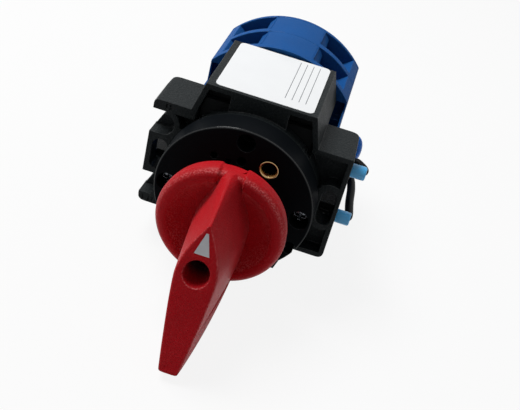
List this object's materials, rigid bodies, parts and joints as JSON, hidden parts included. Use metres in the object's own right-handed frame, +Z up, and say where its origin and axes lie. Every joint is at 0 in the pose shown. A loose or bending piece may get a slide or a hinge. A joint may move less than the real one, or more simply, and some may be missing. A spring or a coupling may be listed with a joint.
{
  "type": "manual transfer switch",
  "caption": "Rotary cam transfer switch with a red lever handle on a dished knob, a black mounting frame and disc, stacked blue contact stages and wire jumpers.",
  "frame": {"origin": "on the shaft's axis, in the plane where the mounting frame's flanges meet the panel", "axes": "+Y along the shaft towards the rear cover, so the handle faces -Y; +Z up, towards the side with the label; +X to the right seen from the front, the side with the jumpers"},
  "size_m": [0.0623, 0.1138, 0.0556],
  "materials": {
    "red_plastic": "satin, fine moulded texture",
    "white_plastic": "satin",
    "steel": "zinc plated",
    "black_plastic": "satin",
    "brass": "turned",
    "label": "smooth film",
    "ivory_plastic": "satin",
    "spring_steel": "drawn",
    "blue_plastic": "satin",
    "copper": "stamped, with silver tips",
    "tinned_copper": "tinned",
    "ferrule_plastic": "glossy",
    "black_pvc": "satin",
    "blue_pvc": "glossy"
  },
  "bodies": {
    "housing": {"front_plate": "black_plastic", "brass_bush": "brass", "cover_screws": "steel", "mounting_frame": "black_plastic", "rating_label": "label", "latch_housing": "black_plastic", "detent_springs": "spring_steel", "stage_1": "blue_plastic", "stage_2": "blue_plastic", "stage_3": "blue_plastic", "stage_4": "blue_plastic", "rear_cover": "blue_plastic", "tie_screws": "steel", "tie_nuts": "steel", "springs_one_upper": "spring_steel", "springs_one_lower": "spring_steel", "springs_two_upper": "spring_steel", "springs_two_lower": "spring_steel", "fixed_contacts_1": "brass", "fixed_contacts_2": "brass", "fixed_contacts_3": "brass", "fixed_contacts_4": "brass", "clamp_plates": "steel", "terminal_screws": "steel", "ferrule_pins": "tinned_copper", "ferrule_collars": "ferrule_plastic", "jumper_black_upper": "black_pvc", "jumper_black_lower": "black_pvc", "jumper_blue": "blue_pvc"},
    "rotor": {"handle": "red_plastic", "pointer_inlay": "white_plastic", "handle_screw": "steel", "drive_shaft": "steel", "star_wheel": "ivory_plastic", "cams_one": "ivory_plastic", "cams_two": "ivory_plastic"},
    "followers_one_upper": {"plungers_one_upper": "ivory_plastic", "bridges_one_upper": "copper"},
    "followers_one_lower": {"plungers_one_lower": "ivory_plastic", "bridges_one_lower": "copper"},
    "followers_two_upper": {"plungers_two_upper": "ivory_plastic", "bridges_two_upper": "copper"},
    "followers_two_lower": {"plungers_two_lower": "ivory_plastic", "bridges_two_lower": "copper"}
  },
  "joints": [
    {"name": "handle_turn", "type": "hinge", "parent": "housing", "child": "rotor", "pos_m": [0, 0, 0], "axis": [0, 1, 0], "range_deg": [-60, 60], "deforming": ["detent_springs"]},
    {"name": "slide_one_upper", "type": "slide", "parent": "housing", "child": "followers_one_upper", "axis": [0, 0, 1], "range_m": [-0.00161, 0.00161], "deforming": ["springs_one_upper"]},
    {"name": "slide_one_lower", "type": "slide", "parent": "housing", "child": "followers_one_lower", "axis": [0, 0, -1], "range_m": [-0.00161, 0.00161], "deforming": ["springs_one_lower"]},
    {"name": "slide_two_upper", "type": "slide", "parent": "housing", "child": "followers_two_upper", "axis": [0, 0, 1], "range_m": [-0.00161, 0.00161], "deforming": ["springs_two_upper"]},
    {"name": "slide_two_lower", "type": "slide", "parent": "housing", "child": "followers_two_lower", "axis": [0, 0, -1], "range_m": [-0.00161, 0.00161], "deforming": ["springs_two_lower"]}
  ],
  "couplings": [
    {"joint": "slide_one_upper", "follows": "handle_turn", "m_per_rad": 0.0015279},
    {"joint": "slide_one_lower", "follows": "handle_turn", "m_per_rad": 0.0015279},
    {"joint": "slide_two_upper", "follows": "handle_turn", "m_per_rad": -0.0015279},
    {"joint": "slide_two_lower", "follows": "handle_turn", "m_per_rad": -0.0015279}
  ]
}
